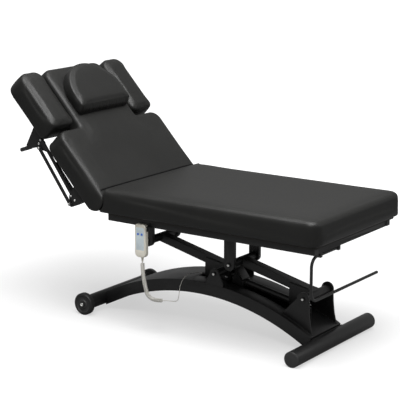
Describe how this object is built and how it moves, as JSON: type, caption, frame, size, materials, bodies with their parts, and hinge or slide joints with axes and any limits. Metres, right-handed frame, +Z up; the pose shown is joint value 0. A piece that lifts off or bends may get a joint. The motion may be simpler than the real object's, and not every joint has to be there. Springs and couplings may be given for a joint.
{
  "type": "electric massage table",
  "caption": "Padded treatment table on a parallel-arm electric lift over an arched base, with a hinged back, lowering armrests, a head pillow and a hand control.",
  "frame": {"origin": "centre of the bounding box, on the floor", "axes": "+X towards the foot end of the table, +Y across it away from the side with the hand control, +Z up"},
  "size_m": [1.7689, 0.8, 1.2089],
  "materials": {
    "upholstery": "soft black upholstery leather with a low sheen",
    "plywood": "black-stained birch plywood",
    "black_frame": "satin black powder coat",
    "bright_steel": "zinc-plated steel",
    "rod_steel": "ground and chromed rod",
    "tyre": "matte black rubber",
    "black_plastic": "fine-grained black plastic",
    "motor_black": "ribbed black housing",
    "light_plastic": "warm white plastic",
    "membrane": "pale blue-grey keypad film",
    "blue_button": "blue keys",
    "cord": "off-white flexible cord",
    "spring_black": "black gas spring tube"
  },
  "bodies": {
    "base": {"base_arch": "black_frame", "foot_tube": "black_frame", "foot_tube_caps": "black_plastic", "head_tube": "black_frame", "mid_brackets": "black_frame", "foot_brackets": "black_frame", "base_pins": "bright_steel", "actuator_rod": "rod_steel"},
    "near_wheel": {"near_wheel_tyre": "tyre", "near_wheel_hub": "black_plastic"},
    "far_wheel": {"far_wheel_tyre": "tyre", "far_wheel_hub": "black_plastic"},
    "arm_a": {"arm_a": "black_frame", "crank_pin": "bright_steel", "control_box": "black_plastic", "mains_inlet": "black_plastic", "cord_plug": "black_plastic"},
    "arm_b": {"arm_b": "black_frame"},
    "motor": {"motor_housing": "motor_black", "motor_tube": "motor_black"},
    "top_frame": {"rails": "black_frame", "cross_tubes": "black_frame", "posts": "black_frame", "upper_shafts": "bright_steel", "seat_board": "plywood", "seat_cushion": "upholstery", "hinge_ears": "black_frame", "roll_bar": "black_frame", "roll_bar_clamp": "black_frame", "handset_holder": "black_plastic", "handset_shell": "light_plastic", "handset_membrane": "membrane", "handset_relief": "light_plastic", "handset_curls": "cord", "handset_cord": "cord"},
    "up_button": {"up_button": "blue_button"},
    "down_button": {"down_button": "blue_button"},
    "back": {"back_board": "plywood", "back_frame": "black_frame", "hinge_lugs": "black_frame", "back_cushion": "upholstery", "armrest_brackets": "black_frame", "bracket_pins": "bright_steel"},
    "pillow": {"pillow": "upholstery"},
    "near_lower_link": {"near_lower_link": "black_frame"},
    "near_upper_link": {"near_upper_link": "black_frame"},
    "near_armrest": {"near_armrest_plate": "black_frame", "near_armrest_board": "plywood", "near_armrest_cushion": "upholstery"},
    "near_spring_tube": {"near_spring_tube": "spring_black"},
    "near_spring_rod": {"near_spring_rod": "rod_steel"},
    "near_lever": {"near_lever": "black_plastic"},
    "far_lower_link": {"far_lower_link": "black_frame"},
    "far_upper_link": {"far_upper_link": "black_frame"},
    "far_armrest": {"far_armrest_plate": "black_frame", "far_armrest_board": "plywood", "far_armrest_cushion": "upholstery"},
    "far_spring_tube": {"far_spring_tube": "spring_black"},
    "far_spring_rod": {"far_spring_rod": "rod_steel"},
    "far_lever": {"far_lever": "black_plastic"}
  },
  "joints": [
    {"name": "near_wheel_roll", "type": "hinge", "parent": "base", "child": "near_wheel", "pos_m": [-0.51855, -0.27, 0.0555], "axis": [0, 1, 0], "continuous": true},
    {"name": "far_wheel_roll", "type": "hinge", "parent": "base", "child": "far_wheel", "pos_m": [-0.51855, 0.27, 0.0555], "axis": [0, 1, 0], "continuous": true},
    {"name": "lift", "type": "hinge", "parent": "base", "child": "arm_a", "pos_m": [0.17245, 0, 0.291], "axis": [0, 1, 0], "range_deg": [-2, 32], "deforming": ["handset_curls", "handset_cord"]},
    {"name": "top_frame_level", "type": "hinge", "parent": "arm_a", "child": "top_frame", "pos_m": [-0.23555, 0, 0.389], "axis": [0, 1, 0], "range_deg": [-32, 2]},
    {"name": "arm_b_swing", "type": "hinge", "parent": "base", "child": "arm_b", "pos_m": [0.65145, 0, 0.243], "axis": [0, 1, 0], "range_deg": [-2, 32]},
    {"name": "motor_travel", "type": "slide", "parent": "base", "child": "motor", "axis": [-0.9823, 0, 0.1872], "range_m": [-0.0016, 0.0212]},
    {"name": "back_tilt", "type": "hinge", "parent": "top_frame", "child": "back", "pos_m": [-0.34965, 0, 0.6325], "axis": [0, 1, 0], "range_deg": [-67, 18]},
    {"name": "pillow_slide", "type": "slide", "parent": "back", "child": "pillow", "axis": [0.682, 0, -0.7314], "range_m": [0, 0.12]},
    {"name": "up_button_press", "type": "slide", "parent": "top_frame", "child": "up_button", "axis": [0, 1, 0], "range_m": [0, 0.0012], "stiffness_N_per_m": 900, "springref_m": -0.0006},
    {"name": "down_button_press", "type": "slide", "parent": "top_frame", "child": "down_button", "axis": [0, 1, 0], "range_m": [0, 0.0012], "stiffness_N_per_m": 900, "springref_m": -0.0006},
    {"name": "near_armrest_lower", "type": "hinge", "parent": "back", "child": "near_lower_link", "pos_m": [-0.50787, -0.38, 0.58737], "axis": [0, 1, 0], "range_deg": [-37, 0]},
    {"name": "near_armrest_level", "type": "hinge", "parent": "near_lower_link", "child": "near_armrest", "pos_m": [-0.69496, -0.38, 0.84225], "axis": [0, 1, 0], "range_deg": [0, 37]},
    {"name": "near_upper_link_swing", "type": "hinge", "parent": "back", "child": "near_upper_link", "pos_m": [-0.5044, -0.364, 0.62616], "axis": [0, 1, 0], "range_deg": [-37, 0]},
    {"name": "near_spring_swing", "type": "hinge", "parent": "back", "child": "near_spring_tube", "pos_m": [-0.48169, -0.346, 0.60768], "axis": [0, 1, 0], "range_deg": [-34.65, 0]},
    {"name": "near_spring_stroke", "type": "slide", "parent": "near_spring_tube", "child": "near_spring_rod", "axis": [-0.6555, 0, 0.7552], "range_m": [0, 0.01283]},
    {"name": "near_lever_pull", "type": "hinge", "parent": "near_armrest", "child": "near_lever", "pos_m": [-0.74223, -0.346, 0.84602], "axis": [0, 1, 0], "range_deg": [0, 12], "stiffness_Nm_per_rad": 1.2, "springref_deg": -6.88},
    {"name": "far_armrest_lower", "type": "hinge", "parent": "back", "child": "far_lower_link", "pos_m": [-0.50787, 0.38, 0.58737], "axis": [0, 1, 0], "range_deg": [-37, 0]},
    {"name": "far_armrest_level", "type": "hinge", "parent": "far_lower_link", "child": "far_armrest", "pos_m": [-0.69496, 0.38, 0.84225], "axis": [0, 1, 0], "range_deg": [0, 37]},
    {"name": "far_upper_link_swing", "type": "hinge", "parent": "back", "child": "far_upper_link", "pos_m": [-0.5044, 0.364, 0.62616], "axis": [0, 1, 0], "range_deg": [-37, 0]},
    {"name": "far_spring_swing", "type": "hinge", "parent": "back", "child": "far_spring_tube", "pos_m": [-0.48169, 0.346, 0.60768], "axis": [0, 1, 0], "range_deg": [-34.65, 0]},
    {"name": "far_spring_stroke", "type": "slide", "parent": "far_spring_tube", "child": "far_spring_rod", "axis": [-0.6555, 0, 0.7552], "range_m": [0, 0.01283]},
    {"name": "far_lever_pull", "type": "hinge", "parent": "far_armrest", "child": "far_lever", "pos_m": [-0.74223, 0.346, 0.84602], "axis": [0, 1, 0], "range_deg": [0, 12], "stiffness_Nm_per_rad": 1.2, "springref_deg": -6.88}
  ],
  "couplings": [
    {"joint": "top_frame_level", "follows": "lift", "ratio": -1},
    {"joint": "arm_b_swing", "follows": "lift", "ratio": 1},
    {"joint": "motor_travel", "follows": "lift", "m_per_rad": 0.03727},
    {"joint": "near_armrest_level", "follows": "near_armrest_lower", "ratio": -1},
    {"joint": "near_upper_link_swing", "follows": "near_armrest_lower", "ratio": 1},
    {"joint": "near_spring_swing", "follows": "near_armrest_lower", "ratio": 0.923},
    {"joint": "near_spring_stroke", "follows": "near_armrest_lower", "m_per_rad": -0.0194},
    {"joint": "far_armrest_level", "follows": "far_armrest_lower", "ratio": -1},
    {"joint": "far_upper_link_swing", "follows": "far_armrest_lower", "ratio": 1},
    {"joint": "far_spring_swing", "follows": "far_armrest_lower", "ratio": 0.923},
    {"joint": "far_spring_stroke", "follows": "far_armrest_lower", "m_per_rad": -0.0194}
  ]
}
